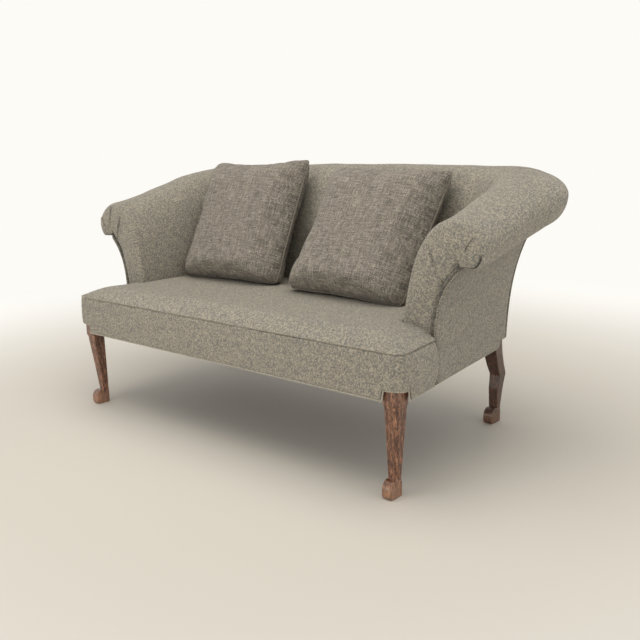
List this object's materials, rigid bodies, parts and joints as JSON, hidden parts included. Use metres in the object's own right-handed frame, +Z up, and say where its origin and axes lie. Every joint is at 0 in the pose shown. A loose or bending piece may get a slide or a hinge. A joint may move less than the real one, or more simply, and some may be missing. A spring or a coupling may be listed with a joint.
{
  "type": "rolled arm sofa",
  "caption": "Low sofa with rolled arms sweeping round into a rolled back, a tight T-shaped seat on springs, scroll-toed wooden legs and loose pillows.",
  "frame": {"origin": "on the floor, under the middle of the sofa's overall box", "axes": "+X to the viewer's right along the seat, +Y to the back, +Z up"},
  "size_m": [1.7204, 0.8924, 0.8935],
  "materials": {
    "leg_wood": "worn dark stain with open grain",
    "frame_wood": "planed, unfinished hardwood",
    "steel": "bright drawn wire and screws",
    "tweed": "coarse woven tweed in mixed grey, blue-grey and taupe yarns",
    "tweed_cord": "piping in the cover tweed",
    "linen": "plain linen weave, brown-grey",
    "linen_cord": "piping in the pillow linen",
    "hessian": "open jute weave",
    "stuffing": "felted fibre stuffing",
    "black_lining": "thin black lining cloth"
  },
  "bodies": {
    "sofa": {"front_left_leg": "leg_wood", "front_right_leg": "leg_wood", "rear_left_leg": "leg_wood", "rear_right_leg": "leg_wood", "front_seat_rail": "frame_wood", "rear_seat_rail": "frame_wood", "left_seat_rail": "frame_wood", "right_seat_rail": "frame_wood", "seat_brace": "frame_wood", "front_left_block": "frame_wood", "front_right_block": "frame_wood", "rear_left_block": "frame_wood", "rear_right_block": "frame_wood", "front_left_end_screw": "steel", "front_left_side_screw": "steel", "front_right_end_screw": "steel", "front_right_side_screw": "steel", "rear_left_end_screw": "steel", "rear_left_side_screw": "steel", "rear_right_end_screw": "steel", "rear_right_side_screw": "steel", "left_arm_stump": "frame_wood", "right_arm_stump": "frame_wood", "left_arm_rail": "frame_wood", "right_arm_rail": "frame_wood", "left_arm_tack_rail": "frame_wood", "right_arm_tack_rail": "frame_wood", "back_tack_rail": "frame_wood", "crest_rail": "frame_wood", "back_upright": "frame_wood", "seat_spring_1": "steel", "seat_spring_2": "steel", "seat_spring_3": "steel", "seat_spring_4": "steel", "seat_spring_5": "steel", "seat_spring_6": "steel", "spring_deck": "hessian", "seat_core": "stuffing", "seat_pad": "tweed", "front_border": "tweed", "left_inside_arm": "tweed", "right_inside_arm": "tweed", "inside_back": "tweed", "left_arm_front": "tweed", "right_arm_front": "tweed", "left_outside_arm": "tweed", "right_outside_arm": "tweed", "outside_back": "tweed", "seat_welt": "tweed_cord", "bottom_welt": "tweed_cord", "back_welt": "tweed_cord", "dust_cover": "black_lining"},
    "left_pillow": {"left_pillow": "linen", "left_pillow_welt": "linen_cord"},
    "right_pillow": {"right_pillow": "linen", "right_pillow_welt": "linen_cord"}
  },
  "joints": [
    {"name": "left_pillow_lift", "type": "slide", "parent": "sofa", "child": "left_pillow", "axis": [0, 0, 1], "range_m": [0, 0.5]},
    {"name": "right_pillow_lift", "type": "slide", "parent": "sofa", "child": "right_pillow", "axis": [0, 0, 1], "range_m": [0, 0.5]}
  ]
}
